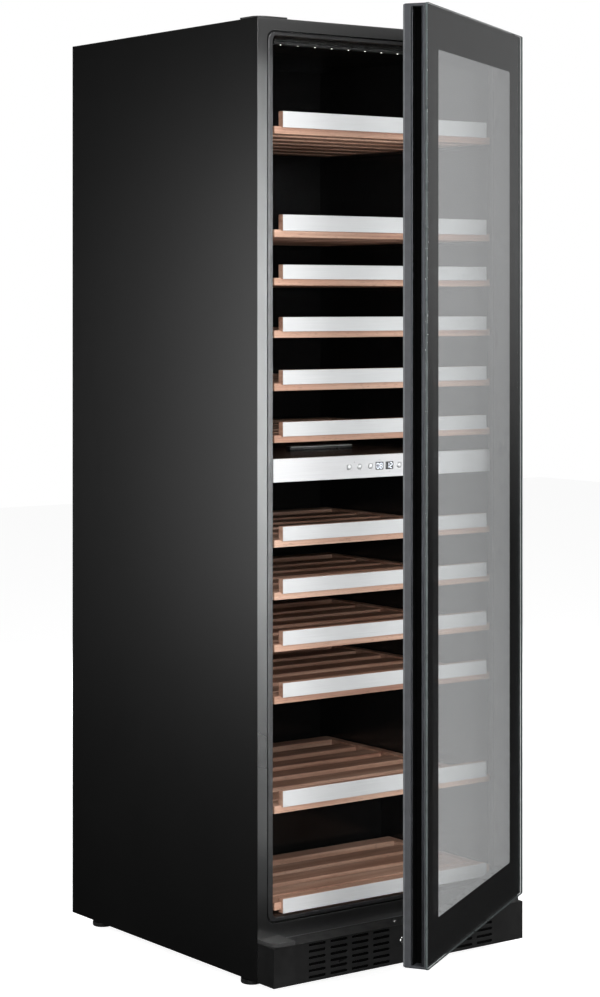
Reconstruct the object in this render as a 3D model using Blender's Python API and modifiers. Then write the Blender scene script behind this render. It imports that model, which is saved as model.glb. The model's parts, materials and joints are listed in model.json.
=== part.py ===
"""Tall two-zone wine cooler: steel casing, twelve pull-out wooden shelves and a hinged glass door.

Metres, +Z up. The floor is z = 0, the door faces -Y, and the origin is under the middle of the
cabinet body. The door stands part open, turned about its hinge pins.
"""

import math

import bmesh
import bpy
from mathutils import Matrix, Vector

# ---- Overall sizes ----
WIDTH = 0.595
BODY_DEPTH = 0.631
BODY_HEIGHT = 1.736
FLOOR_GAP = 0.021
GAP = 0.0003
SHEET = 0.0010

# ---- Opening and front frame ----
WALL = 0.0347
OPENING_LOW = 0.112
TOP_WALL = 0.031
OPENING_RADIUS = 0.009
FRAME_WIDTH = 0.0212
FRAME_FOOT = 0.0724
FRAME_LIP = 0.012
TRIM_SIDE = 0.0107
TRIM_TOP = 0.0065
TRIM_FOOT = 0.008
TRIM_DEPTH = 0.012
TRIM_FLANGE = 0.003
TRIM_BEVEL = 0.0012
GROOVE = 0.0028

# ---- Liner, machine niche and zone divider ----
LINER_WALL = 0.0025
LINER_DEPTH = 0.545
LINER_SET_BACK = 0.0008
NICHE_DEPTH = 0.205
NICHE_HEIGHT = 0.250
RUNNER_INSET = 0.020
RUNNER_HEIGHT = 0.006
RUNNER_REACH = 0.012
FASCIA_LOW = 0.897
FASCIA_HEIGHT = 0.042
FASCIA_SIDE_GAP = 0.0029
FASCIA_SET_BACK = 0.0035
FASCIA_SHEET = 0.0020
FASCIA_DEPTH = 0.011

# ---- Control keys and displays ----
KEY_RADIUS = 0.0052
KEY_TRAVEL = 0.0008
KEY_PROUD = 0.0004
KEY_CHAMFER = 0.0006
KEY_FLANGE = 0.0016
KEY_PLACES = (-0.086, -0.061, -0.035, 0.034, 0.060, 0.085)
DISPLAY_PLACES = (-0.0135, 0.0105)
DISPLAY_WIDTH = 0.0190
DISPLAY_HEIGHT = 0.0150
DISPLAY_RECESS = 0.0006

# ---- Shelves: heights are shares of the zone that the shelves fill ----
UPPER_SHELF_SHARES = (0.7840, 0.5398, 0.4256, 0.3016, 0.1762, 0.0535)
LOWER_SHELF_SHARES = (0.8650, 0.7439, 0.6242, 0.5045, 0.2522, 0.0076)
TALL_SHELVES = (1, 2, 11)
BOARD_HEIGHT = 0.0260
TALL_BOARD_HEIGHT = 0.0292
BOARD_THICKNESS = 0.0127
STRIP_THICKNESS = 0.0008
SHELF_SET_FORWARD = 0.0049
SHELF_SIDE_GAP = 0.0186
TRAY_SIDE_GAP = 0.0050
TRAY_THICKNESS = 0.0115
TRAY_LAP = 0.0020
LOWEST_TRAY_RISE = 0.0060
RAIL_SET_BACK = 0.0016
RAIL_WIDTH = 0.0380
SIDE_RAIL_WIDTH = 0.0180
SLAT_COUNT = 5
SLAT_WIDTH = 0.0480
SLAT_DROP = 0.0015
SHELF_REAR_GAP = 0.030

# ---- Kick plate, lock, corner caps ----
KICK_HEIGHT = 0.0715
KICK_WALL = 0.0015
VENT_LENGTH = 0.0390
VENT_HEIGHT = 0.0052
VENT_PITCH_X = 0.0495
VENT_PITCH_Z = 0.0116
VENT_COLUMNS = 4
VENT_ROWS = 6
VENT_GROUP_PLACE = 0.1258
VENT_TOP_DROP = 0.0055
LOCK_HEIGHT = 0.041
LOCK_RADIUS = 0.0075
LOCK_LENGTH = 0.016
LOCK_CHAMFER = 0.0008
KEYHOLE_WIDTH = 0.0017
KEYHOLE_DEPTH = 0.0040
BOLT_RADIUS = 0.0040
BOLT_PROUD = 0.0022
BOLT_CHAMFER = 0.0008
CAP_LENGTH = 0.0475
CAP_RADIUS = 0.020
LOWER_CAP_HEIGHT = 0.0075
UPPER_CAP_HEIGHT = 0.0027
UPPER_CAP_DEPTH = 0.055
UPPER_CAP_REACH = 0.040
BRACKET_TAB = 0.0028

# ---- Door ----
DOOR_FRONT = 0.0490
DOOR_LOW = 0.0828
DOOR_TOP_GAP = 0.0008
DOOR_HINGE_GAP = 0.0015
DOOR_FREE_GAP = 0.0035
DOOR_INNER = 0.0070
DOOR_REST_DEGREES = 31.9
PANE = 0.0049
PANE_RADIUS = 0.0030
STILE = 0.0600
REBATE = 0.0070
REBATE_DEPTH = 0.0050
INNER_PANE = 0.0040
PIVOT_INSET = 0.01435
PIVOT_DEPTH = 0.0235
PIN_RADIUS = 0.0040
PIN_REACH = 0.0110
GASKET_OUTER = 0.0125
GASKET_WIDTH = 0.0180
GASKET_BULGE = 0.0015
GRIP_FRONT = 0.0076
GRIP_FRONT_LIP = 0.0039
GRIP_WIDTH = 0.0229
GRIP_REAR_LIP = 0.0030
GRIP_DEPTH = 0.0220
GRIP_WEB = 0.0020
GRIP_END = 0.0060

# ---- Base, feet, rear ----
BASE_SHEET = 0.0015
BASE_LIP = 0.0200
FOOT_RADIUS = 0.0200
FOOT_SOLE = 0.0100
FOOT_CHAMFER = 0.0015
FOOT_SHOULDER = 0.0030
FOOT_STEM = 0.0055
FOOT_STEM_TOP = 0.0450
FOOT_INSET_X = 0.0395
FOOT_INSET_FRONT = 0.0730
FOOT_INSET_REAR = 0.0510
REAR_VENT_ROWS = 7
REAR_VENT_COLUMNS = 3
REAR_VENT_LENGTH = 0.110
REAR_VENT_HEIGHT = 0.008
REAR_VENT_PITCH = 0.022
REAR_VENT_LOW = 0.060
COMPRESSOR_RADIUS = 0.062
COMPRESSOR_HEIGHT = 0.125
COMPRESSOR_PLACE = (0.090, 0.105)
# Shares of the radius and of the height, from the foot up, with a rim where the two halves meet.
COMPRESSOR_PROFILE = (
    (0.90, 0.00),
    (0.97, 0.12),
    (0.97, 0.50),
    (1.00, 0.50),
    (1.00, 0.55),
    (0.94, 0.55),
    (0.90, 0.80),
    (0.72, 0.94),
    (0.40, 1.00),
)
COMPRESSOR_PLATE_SHARE = 1.25
INLET_WIDTH = 0.030
INLET_HEIGHT = 0.024
INLET_DEPTH = 0.022
INLET_PLACE = (-0.235, 0.035)
INLET_WALL = 0.0030
INLET_PIN = 0.0020
INLET_PIN_PLACES = ((-0.007, -0.002), (0.0, 0.002), (0.007, -0.002))

ARC_STEPS = 5
ROUND_STEPS = 24
KEY_STEPS = 16
SLOT_STEPS = 2
LEAST_RADIUS = 0.0004
MERGE = 0.00001

# ---- Places worked out from the sizes ----
HALF = WIDTH / 2
FRONT = -BODY_DEPTH / 2
REAR = BODY_DEPTH / 2
CASE_LOW = FLOOR_GAP
CASE_TOP = FLOOR_GAP + BODY_HEIGHT
OPEN_HALF = HALF - WALL
OPEN_LOW = CASE_LOW + OPENING_LOW
OPEN_TOP = CASE_TOP - TOP_WALL
LINER_HALF = OPEN_HALF + LINER_SET_BACK
LINER_FRONT = FRONT + TRIM_DEPTH + GAP
LINER_BACK = FRONT + LINER_DEPTH
LINER_FLOOR = OPEN_LOW - LINER_SET_BACK
LINER_TOP = OPEN_TOP + LINER_SET_BACK
NICHE_FRONT = LINER_BACK - NICHE_DEPTH
NICHE_TOP = CASE_LOW + NICHE_HEIGHT
PANEL_LOW = CASE_LOW + FASCIA_LOW
PANEL_TOP = PANEL_LOW + FASCIA_HEIGHT
KICK_TOP = CASE_LOW + KICK_HEIGHT
DOOR_Y = FRONT - DOOR_FRONT
DOOR_X0 = -HALF + DOOR_FREE_GAP
DOOR_X1 = HALF - DOOR_HINGE_GAP
DOOR_Z0 = CASE_LOW + DOOR_LOW
DOOR_Z1 = CASE_TOP - DOOR_TOP_GAP
PIVOT = Vector((HALF - PIVOT_INSET, FRONT - PIVOT_DEPTH, 0.0))
SHELF_HALF = OPEN_HALF - SHELF_SIDE_GAP
TRAY_HALF = LINER_HALF - TRAY_SIDE_GAP
SHELF_FRONT = FRONT - SHELF_SET_FORWARD
BOLT_Y = FRONT - PIVOT_DEPTH

# ---- Finishes: base colour, roughness, metallic ----
FINISHES = {
    "casing_black": ((0.030, 0.030, 0.032), 0.42, 0.0),
    "frame_grey": ((0.060, 0.060, 0.063), 0.40, 0.0),
    "trim_grey": ((0.300, 0.305, 0.315), 0.35, 0.0),
    "liner_black": ((0.012, 0.012, 0.013), 0.30, 0.0),
    "fascia_silver": ((0.720, 0.720, 0.730), 0.30, 1.0),
    "key_silver": ((0.760, 0.760, 0.770), 0.25, 1.0),
    "strip_silver": ((0.780, 0.780, 0.790), 0.32, 1.0),
    "shelf_wood": ((0.620, 0.360, 0.230), 0.55, 0.0),
    "kick_black": ((0.020, 0.020, 0.021), 0.45, 0.0),
    "hinge_grey": ((0.070, 0.070, 0.073), 0.38, 0.0),
    "lock_chrome": ((0.620, 0.620, 0.630), 0.18, 1.0),
    "foot_black": ((0.015, 0.015, 0.015), 0.60, 0.0),
    "zinc": ((0.550, 0.560, 0.570), 0.40, 1.0),
    "compressor_black": ((0.018, 0.018, 0.018), 0.35, 0.0),
    "socket_black": ((0.020, 0.020, 0.020), 0.50, 0.0),
    "door_glass": ((0.080, 0.085, 0.090), 0.04, 0.0),
    "clear_glass": ((0.800, 0.820, 0.820), 0.03, 0.0),
    "door_frame_grey": ((0.090, 0.095, 0.105), 0.45, 0.0),
    "grip_anodised": ((0.300, 0.310, 0.330), 0.30, 1.0),
    "gasket_black": ((0.030, 0.030, 0.030), 0.70, 0.0),
}


# ---- Scene and object helpers ----

def clear_scene():
    for obj in list(bpy.data.objects):
        bpy.data.objects.remove(obj, do_unlink=True)


def make_collection(name, hidden=False):
    group = bpy.data.collections.new(name)
    bpy.context.scene.collection.children.link(group)
    group.hide_render = hidden
    return group


def finish(name):
    """The material of this name, made once from the table of finishes."""
    if name in bpy.data.materials:
        return bpy.data.materials[name]
    colour, roughness, metallic = FINISHES[name]
    material = bpy.data.materials.new(name)
    material.use_nodes = True
    shader = material.node_tree.nodes["Principled BSDF"]
    shader.inputs["Base Color"].default_value = (*colour, 1.0)
    shader.inputs["Roughness"].default_value = roughness
    shader.inputs["Metallic"].default_value = metallic
    material.diffuse_color = (*colour, 1.0)
    return material


def place(name, shape, material, origin=(0.0, 0.0, 0.0), parent=None):
    """Makes the object of a bmesh drawn in world places, with its origin at origin."""
    origin = Vector(origin)
    bmesh.ops.recalc_face_normals(shape, faces=shape.faces)
    bmesh.ops.translate(shape, verts=shape.verts, vec=-origin)
    mesh = bpy.data.meshes.new(name)
    shape.to_mesh(mesh)
    shape.free()
    mesh.materials.append(finish(material))
    obj = bpy.data.objects.new(name, mesh)
    PARTS.objects.link(obj)
    if parent is None:
        obj.location = origin
    else:
        obj.parent = parent
        obj.location = origin - PIVOT
    return obj


def helper(target, shape, operation):
    """Adds a Boolean of this shape, drawn in world places, to the target."""
    count = len(target.modifiers) + 1
    tool = place(f"{target.name}_tool_{count}", shape, "zinc", parent=target.parent, origin=PIVOT)
    PARTS.objects.unlink(tool)
    TOOLS.objects.link(tool)
    tool.hide_render = True
    tool.display_type = "WIRE"
    if target.parent is None:
        tool.location = PIVOT
    boolean = target.modifiers.new(f"{operation.lower()} {count}", "BOOLEAN")
    boolean.operation = operation
    boolean.solver = "EXACT"
    boolean.use_self = operation == "UNION"
    boolean.object = tool


# ---- Shapes ----

def boxes(spans):
    """A box for each pair of opposite corners, in one mesh."""
    shape = bmesh.new()
    for low, high in spans:
        low, high = Vector(low), Vector(high)
        where = Matrix.Translation((low + high) / 2)
        bmesh.ops.create_cube(shape, size=1.0, matrix=where @ Matrix.Diagonal((*(high - low), 1.0)))
    return shape


def block(name, spans, material, cuts=(), origin=(0.0, 0.0, 0.0), parent=None):
    """An object joined from boxes, less the cut boxes."""
    obj = place(name, boxes(spans[:1]), material, origin, parent)
    if spans[1:]:
        helper(obj, boxes(spans[1:]), "UNION")
    if cuts:
        helper(obj, boxes(cuts), "DIFFERENCE")
    return obj


def rounded_outline(low_u, high_u, low_v, high_v, radius, steps=ARC_STEPS):
    """Points round a rectangle with round corners, anticlockwise."""
    points = []
    corners = (
        (high_u - radius, high_v - radius, 0),
        (low_u + radius, high_v - radius, 90),
        (low_u + radius, low_v + radius, 180),
        (high_u - radius, low_v + radius, 270),
    )
    for u, v, start in corners:
        for step in range(steps + 1):
            angle = math.radians(start + 90 * step / steps)
            points.append((u + radius * math.cos(angle), v + radius * math.sin(angle)))
    return points


def prism(outline, low, high, axis):
    """An outline in the plane across this axis, extruded from low to high."""
    u, v = [(1, 2), (0, 2), (0, 1)][axis]
    shape = bmesh.new()
    corners = []
    for point in outline:
        corner = Vector()
        corner[axis] = low
        corner[u], corner[v] = point
        corners.append(shape.verts.new(corner))
    face = shape.faces.new(corners)
    grown = bmesh.ops.extrude_face_region(shape, geom=[face])["geom"]
    shift = Vector()
    shift[axis] = high - low
    far_corners = [item for item in grown if isinstance(item, bmesh.types.BMVert)]
    bmesh.ops.translate(shape, verts=far_corners, vec=shift)
    return shape


def ring(loops):
    """A closed band round an opening: each loop is (half width or x pair, low, high, radius, y)."""
    shape = bmesh.new()
    rows = []
    for span, low, high, radius, y in loops:
        x0, x1 = span if isinstance(span, tuple) else (-span, span)
        outline = rounded_outline(x0, x1, low, high, max(radius, LEAST_RADIUS))
        rows.append([shape.verts.new((u, y, v)) for u, v in outline])
    for first, second in zip(rows, rows[1:] + rows[:1]):
        count = len(first)
        for i in range(count):
            j = (i + 1) % count
            shape.faces.new((first[i], first[j], second[j], second[i]))
    return shape


def turned(name, profile, material, origin, inward=False, steps=ROUND_STEPS):
    """A profile of (radius, distance) turned about +Z, or about +Y if it runs inward."""
    shape = bmesh.new()
    rows = [(0.0, profile[-1][1]), *reversed(profile), (0.0, profile[0][1])]
    points = [shape.verts.new((radius, 0.0, along)) for radius, along in rows]
    for pair in zip(points, points[1:]):
        shape.edges.new(pair)
    obj = place(name, shape, material)
    obj.location = origin
    if inward:
        obj.rotation_euler = (math.radians(-90), 0.0, 0.0)
    screw = obj.modifiers.new("turn", "SCREW")
    screw.axis = "Z"
    screw.steps = steps
    screw.render_steps = steps
    screw.use_merge_vertices = True
    screw.merge_threshold = MERGE
    screw.use_smooth_shade = True
    return obj


def rod(radius, centre, low, high, axis, steps=ROUND_STEPS):
    """A cylinder along +Y or +Z, from low to high beside the centre."""
    shape = bmesh.new()
    middle = Vector(centre)
    middle[axis] += (low + high) / 2
    where = Matrix.Translation(middle)
    if axis == 1:
        where = where @ Matrix.Rotation(math.radians(90), 4, "X")
    bmesh.ops.create_cone(
        shape,
        cap_ends=True,
        segments=steps,
        radius1=radius,
        radius2=radius,
        depth=high - low,
        matrix=where,
    )
    return shape


# ---- Cabinet ----

def outer_casing():
    front = FRONT + SHEET + GAP
    inner = HALF - SHEET
    low, high = (-HALF, front, CASE_LOW), (HALF, REAR, CASE_TOP)
    hollow_low = (-inner, front - SHEET, CASE_LOW - SHEET)
    hollow_high = (inner, REAR + SHEET, CASE_TOP - SHEET)
    block("outer_casing", [(low, high)], "casing_black", [(hollow_low, hollow_high)])


def rear_panel():
    half = HALF - SHEET - GAP
    front, back = REAR - 2 * SHEET, REAR + SHEET
    cuts = []
    for row in range(REAR_VENT_ROWS):
        low = CASE_LOW + REAR_VENT_LOW + row * REAR_VENT_PITCH
        for column in range(REAR_VENT_COLUMNS):
            pitch = REAR_VENT_LENGTH + REAR_VENT_PITCH
            middle = (column - (REAR_VENT_COLUMNS - 1) / 2) * pitch
            x0, x1 = middle - REAR_VENT_LENGTH / 2, middle + REAR_VENT_LENGTH / 2
            cuts.append(((x0, front, low), (x1, back, low + REAR_VENT_HEIGHT)))
    x, z = INLET_PLACE
    hole_u, hole_v = INLET_WIDTH / 2 + GAP, INLET_HEIGHT / 2 + GAP
    middle_z = CASE_LOW + z
    cuts.append(((x - hole_u, front, middle_z - hole_v), (x + hole_u, back, middle_z + hole_v)))
    plate = ((-half, REAR - SHEET, CASE_LOW), (half, REAR, CASE_TOP - SHEET - GAP))
    block("rear_panel", [plate], "casing_black", cuts)


def foot_places():
    x = HALF - FOOT_INSET_X
    return {
        "foot_front_left": (-x, FRONT + FOOT_INSET_FRONT),
        "foot_front_right": (x, FRONT + FOOT_INSET_FRONT),
        "foot_rear_left": (-x, REAR - FOOT_INSET_REAR),
        "foot_rear_right": (x, REAR - FOOT_INSET_REAR),
    }


def base_pan():
    half = HALF - SHEET - GAP
    y0, y1 = FRONT + SHEET + GAP, REAR - SHEET - GAP
    top = FRAME_FOOT + CASE_LOW - GAP
    plate = ((-half, y0, CASE_LOW), (half, y1, CASE_LOW + BASE_SHEET))
    front_wall = ((-half, y0, CASE_LOW), (half, y0 + BASE_SHEET, top))
    lips = []
    for x0 in (-half, half - BASE_SHEET):
        lips.append(((x0, y0, CASE_LOW), (x0 + BASE_SHEET, y1, CASE_LOW + BASE_LIP)))
    pan = block("base_pan", [plate, front_wall] + lips, "zinc")
    for x, y in foot_places().values():
        hole = rod(FOOT_STEM + 2 * GAP, (x, y, CASE_LOW), -BASE_SHEET, 2 * BASE_SHEET, 2)
        helper(pan, hole, "DIFFERENCE")


def front_frame():
    inner = OPEN_HALF + TRIM_SIDE + GROOVE
    low = OPEN_LOW - TRIM_FOOT - GROOVE
    high = OPEN_TOP + TRIM_TOP + GROOVE
    radius = OPENING_RADIUS + TRIM_TOP
    foot = CASE_LOW + FRAME_FOOT
    back = FRONT + FRAME_LIP
    loops = [
        (HALF, foot, CASE_TOP, 0.0, FRONT + SHEET),
        (HALF, foot, CASE_TOP, 0.0, FRONT),
        (inner, low, high, radius, FRONT),
        (inner, low, high, radius, back),
        (inner + SHEET, low - SHEET, high + SHEET, radius + SHEET, back),
        (inner + SHEET, low - SHEET, high + SHEET, radius + SHEET, FRONT + SHEET),
    ]
    place("front_frame", ring(loops), "frame_grey")


def opening_trim():
    outer = OPEN_HALF + TRIM_SIDE
    low, high = OPEN_LOW - TRIM_FOOT, OPEN_TOP + TRIM_TOP
    radius = OPENING_RADIUS + TRIM_TOP
    flange = GROOVE - GAP
    edge = TRIM_BEVEL
    back = FRONT + TRIM_DEPTH
    loops = [
        (outer, low, high, radius, FRONT + edge),
        (outer - edge, low + edge, high - edge, radius - edge, FRONT),
        (OPEN_HALF + edge, OPEN_LOW - edge, OPEN_TOP + edge, OPENING_RADIUS + edge, FRONT),
        (OPEN_HALF, OPEN_LOW, OPEN_TOP, OPENING_RADIUS, FRONT + edge),
        (OPEN_HALF, OPEN_LOW, OPEN_TOP, OPENING_RADIUS, back),
        (outer + flange, low - flange, high + flange, radius + flange, back),
        (outer + flange, low - flange, high + flange, radius + flange, back - TRIM_FLANGE),
        (outer, low, high, radius, back - TRIM_FLANGE),
    ]
    place("opening_trim", ring(loops), "trim_grey")


def shelf_levels():
    """(number, height of the board's foot, board height, height of the tray's foot) of each shelf."""
    shares = [(PANEL_TOP, OPEN_TOP, share) for share in UPPER_SHELF_SHARES]
    shares += [(OPEN_LOW, PANEL_LOW, share) for share in LOWER_SHELF_SHARES]
    levels = []
    for number, (low, high, share) in enumerate(shares, 1):
        foot = low + share * (high - low)
        board = TALL_BOARD_HEIGHT if number in TALL_SHELVES else BOARD_HEIGHT
        tray = foot - TRAY_THICKNESS
        if number == len(shares):
            tray = foot + LOWEST_TRAY_RISE
        levels.append((number, foot, board, tray))
    return levels


def shelf_back(number):
    """The shelf's rear edge. The lowest one stops short of the machine niche."""
    limit = NICHE_FRONT if number == len(shelf_levels()) else LINER_BACK
    return limit - SHELF_REAR_GAP


def liner_side(name, side):
    """A side wall with a runner for each shelf."""
    inner, outer = LINER_HALF, LINER_HALF + LINER_WALL
    low = (min(side * inner, side * outer), LINER_FRONT, LINER_FLOOR - LINER_WALL)
    high = (max(side * inner, side * outer), LINER_BACK + LINER_WALL, LINER_TOP + LINER_WALL)
    spans = [(low, high)]
    reach = side * (LINER_HALF - RUNNER_REACH)
    root = side * (LINER_HALF + LINER_WALL / 2)
    x0, x1 = min(reach, root), max(reach, root)
    for number, _, _, tray in shelf_levels():
        top = tray - GAP
        front, back = LINER_FRONT + RUNNER_INSET, shelf_back(number) - RUNNER_INSET
        spans.append(((x0, front, top - RUNNER_HEIGHT), (x1, back, top)))
    block(name, spans, "liner_black")


def liner_rear():
    half = LINER_HALF - GAP
    low = (-half, LINER_BACK, NICHE_TOP + GAP)
    high = (half, LINER_BACK + LINER_WALL, LINER_TOP - GAP)
    block("liner_rear", [(low, high)], "liner_black")


def liner_ceiling():
    half = LINER_HALF - GAP
    low = (-half, LINER_FRONT, LINER_TOP)
    high = (half, LINER_BACK + LINER_WALL, LINER_TOP + LINER_WALL)
    block("liner_ceiling", [(low, high)], "liner_black")


def liner_floor():
    half = LINER_HALF - GAP
    riser = NICHE_FRONT + LINER_WALL
    under = LINER_FLOOR - LINER_WALL
    plates = [
        ((-half, LINER_FRONT, under), (half, riser, LINER_FLOOR)),
        ((-half, NICHE_FRONT, under), (half, riser, NICHE_TOP)),
        ((-half, NICHE_FRONT, NICHE_TOP - LINER_WALL), (half, LINER_BACK + LINER_WALL, NICHE_TOP)),
    ]
    block("liner_floor", plates, "liner_black")


def zone_divider():
    half = LINER_HALF - GAP
    front = FRONT + FASCIA_SET_BACK + FASCIA_DEPTH + GAP
    back = LINER_BACK - GAP
    plates = [
        ((-half, front, PANEL_LOW), (half, front + LINER_WALL, PANEL_TOP)),
        ((-half, front, PANEL_LOW), (half, back, PANEL_LOW + LINER_WALL)),
        ((-half, front, PANEL_TOP - LINER_WALL), (half, back, PANEL_TOP)),
    ]
    block("zone_divider", plates, "liner_black")


def control_fascia():
    half = OPEN_HALF - FASCIA_SIDE_GAP
    front = FRONT + FASCIA_SET_BACK
    back = front + FASCIA_DEPTH
    outer = ((-half, front, PANEL_LOW), (half, back, PANEL_TOP))
    lip = FASCIA_SHEET
    cuts = [((-half + lip, front + lip, PANEL_LOW + lip), (half - lip, back + lip, PANEL_TOP - lip))]
    middle = (PANEL_LOW + PANEL_TOP) / 2
    for x in DISPLAY_PLACES:
        low = (x - DISPLAY_WIDTH / 2, front - lip, middle - DISPLAY_HEIGHT / 2)
        high = (x + DISPLAY_WIDTH / 2, front + DISPLAY_RECESS, middle + DISPLAY_HEIGHT / 2)
        cuts.append((low, high))
    fascia = block("control_fascia", [outer], "fascia_silver", cuts)
    for x in KEY_PLACES:
        hole = rod(KEY_RADIUS + GAP, (x, front, middle), -lip, 2 * lip, 1, KEY_STEPS)
        helper(fascia, hole, "DIFFERENCE")


def control_keys():
    front = FRONT + FASCIA_SET_BACK
    middle = (PANEL_LOW + PANEL_TOP) / 2
    flange = FASCIA_SHEET + GAP
    profile = [
        (KEY_RADIUS - KEY_CHAMFER, -KEY_PROUD),
        (KEY_RADIUS, KEY_CHAMFER / 2 - KEY_PROUD),
        (KEY_RADIUS, flange),
        (KEY_RADIUS + KEY_FLANGE, flange),
        (KEY_RADIUS + KEY_FLANGE, flange + SHEET),
        (KEY_RADIUS / 2, flange + SHEET),
        (KEY_RADIUS / 2, flange + 3 * SHEET),
    ]
    for number, x in enumerate(KEY_PLACES, 1):
        turned(f"key_{number}", profile, "key_silver", (x, front, middle), True, KEY_STEPS)


# ---- Shelves ----

def shelf_frame(number, foot, board, tray):
    strip_back = SHELF_FRONT + STRIP_THICKNESS + GAP
    top = tray + TRAY_THICKNESS
    rail_front = FRONT + RAIL_SET_BACK
    back = shelf_back(number)
    adds = [
        ((-SHELF_HALF, strip_back, foot), (SHELF_HALF, strip_back + BOARD_THICKNESS, foot + board)),
        ((-TRAY_HALF, rail_front, tray), (TRAY_HALF, rail_front + RAIL_WIDTH, top + TRAY_LAP)),
        ((-TRAY_HALF, back - RAIL_WIDTH, tray), (TRAY_HALF, back, top + TRAY_LAP)),
    ]
    for x0 in (-TRAY_HALF, TRAY_HALF - SIDE_RAIL_WIDTH):
        adds.append(((x0, rail_front, tray), (x0 + SIDE_RAIL_WIDTH, back, top + TRAY_LAP)))
    span = back - RAIL_WIDTH - (rail_front + RAIL_WIDTH)
    count = SLAT_COUNT if span > SLAT_COUNT * (SLAT_WIDTH + SHELF_REAR_GAP / 2) else SLAT_COUNT - 2
    pitch = (span + SLAT_WIDTH) / (count + 1)
    for slat in range(1, count + 1):
        y = rail_front + RAIL_WIDTH - SLAT_WIDTH + slat * pitch
        adds.append(((-TRAY_HALF, y, tray), (TRAY_HALF, y + SLAT_WIDTH, top - SLAT_DROP)))
    origin = (0.0, SHELF_FRONT, foot)
    block(f"shelf_{number:02d}_frame", adds, "shelf_wood", origin=origin)


def shelf_strip(number, foot, board):
    low = (-SHELF_HALF, SHELF_FRONT, foot)
    high = (SHELF_HALF, SHELF_FRONT + STRIP_THICKNESS, foot + board)
    origin = (0.0, SHELF_FRONT, foot)
    block(f"shelf_{number:02d}_strip", [(low, high)], "strip_silver", origin=origin)


def shelves():
    for number, foot, board, tray in shelf_levels():
        shelf_frame(number, foot, board, tray)
        shelf_strip(number, foot, board)


# ---- Kick plate, lock, caps and hinge brackets ----

def bracket_flange():
    """The box of the lower bracket's flange, which drops behind the kick plate."""
    low = (HALF - CAP_LENGTH, FRONT - GAP - BRACKET_TAB, CASE_LOW + BASE_LIP)
    high = (HALF - CAP_RADIUS / 2, FRONT - GAP, KICK_TOP + LOWER_CAP_HEIGHT)
    return low, high


def kick_plate():
    low, high = (-HALF, DOOR_Y, CASE_LOW), (HALF, FRONT - GAP, KICK_TOP)
    wall = KICK_WALL
    hollow_low = (-HALF + wall, DOOR_Y + wall, CASE_LOW - wall)
    hollow_high = (HALF - wall, FRONT + wall, KICK_TOP - wall)
    plate = block("kick_plate", [(low, high)], "kick_black", [(hollow_low, hollow_high)])
    notch_low, notch_high = bracket_flange()
    notch = (
        (notch_low[0] - GAP, notch_low[1] - GAP, KICK_TOP - 2 * wall),
        (notch_high[0] + GAP, FRONT + wall, KICK_TOP + wall),
    )
    helper(plate, boxes([notch]), "DIFFERENCE")
    for group in (-1, 1):
        for column in range(VENT_COLUMNS):
            shift = (column - (VENT_COLUMNS - 1) / 2) * VENT_PITCH_X
            x = group * VENT_GROUP_PLACE + shift
            vent_column(plate, x)
    lock = rod(LOCK_RADIUS + GAP, (0.0, DOOR_Y, CASE_LOW + LOCK_HEIGHT), -wall, 2 * wall, 1)
    helper(plate, lock, "DIFFERENCE")
    bolt = rod(BOLT_RADIUS + GAP, (0.0, BOLT_Y, KICK_TOP), -2 * wall, wall, 2)
    helper(plate, bolt, "DIFFERENCE")


def vent_column(plate, x):
    """Cuts one column of round-ended slots, whose cutters are parts of one tool."""
    column = bmesh.new()
    for row in range(VENT_ROWS):
        z = KICK_TOP - VENT_TOP_DROP - row * VENT_PITCH_Z
        outline = rounded_outline(
            x - VENT_LENGTH / 2,
            x + VENT_LENGTH / 2,
            z - VENT_HEIGHT / 2,
            z + VENT_HEIGHT / 2,
            VENT_HEIGHT / 2 - GAP,
            SLOT_STEPS,
        )
        slot = prism(outline, DOOR_Y - KICK_WALL, DOOR_Y + 2 * KICK_WALL, 1)
        mesh = bpy.data.meshes.new("slot")
        slot.to_mesh(mesh)
        slot.free()
        column.from_mesh(mesh)
        bpy.data.meshes.remove(mesh)
    helper(plate, column, "DIFFERENCE")


def lock_plug():
    centre = (0.0, DOOR_Y, CASE_LOW + LOCK_HEIGHT)
    profile = [
        (LOCK_RADIUS - LOCK_CHAMFER, -LOCK_CHAMFER),
        (LOCK_RADIUS, 0.0),
        (LOCK_RADIUS, LOCK_LENGTH),
    ]
    plug = turned("lock_plug", profile, "lock_chrome", centre, True)
    half = LOCK_RADIUS / 2
    low = (-KEYHOLE_WIDTH / 2, DOOR_Y - 2 * LOCK_CHAMFER, centre[2] - half)
    high = (KEYHOLE_WIDTH / 2, DOOR_Y + KEYHOLE_DEPTH, centre[2] + half)
    helper(plug, boxes([(low, high)]), "DIFFERENCE")


def lock_bolt():
    low = LOCK_HEIGHT + LOCK_RADIUS + 2 * GAP - KICK_HEIGHT
    profile = [
        (BOLT_RADIUS, low),
        (BOLT_RADIUS, BOLT_PROUD - BOLT_CHAMFER),
        (BOLT_RADIUS - BOLT_CHAMFER, BOLT_PROUD),
    ]
    turned("lock_bolt", profile, "lock_chrome", (0.0, BOLT_Y, KICK_TOP))


def cap_outline(side, reach, front, back):
    """A corner plate's plan: square at the back and inside, round at the outer front corner."""
    edge, inside = HALF, HALF - reach
    points = [(inside, back), (edge, back)]
    for step in range(ARC_STEPS + 1):
        angle = math.radians(90 * step / ARC_STEPS)
        x = edge - CAP_RADIUS + CAP_RADIUS * math.cos(angle)
        points.append((x, front + CAP_RADIUS - CAP_RADIUS * math.sin(angle)))
    points.append((inside, front))
    return [(side * x, y) for x, y in points]


def lower_plate(side):
    outline = cap_outline(side, CAP_LENGTH, DOOR_Y, FRONT - GAP)
    return prism(outline, KICK_TOP + GAP, KICK_TOP + LOWER_CAP_HEIGHT, 2)


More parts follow.
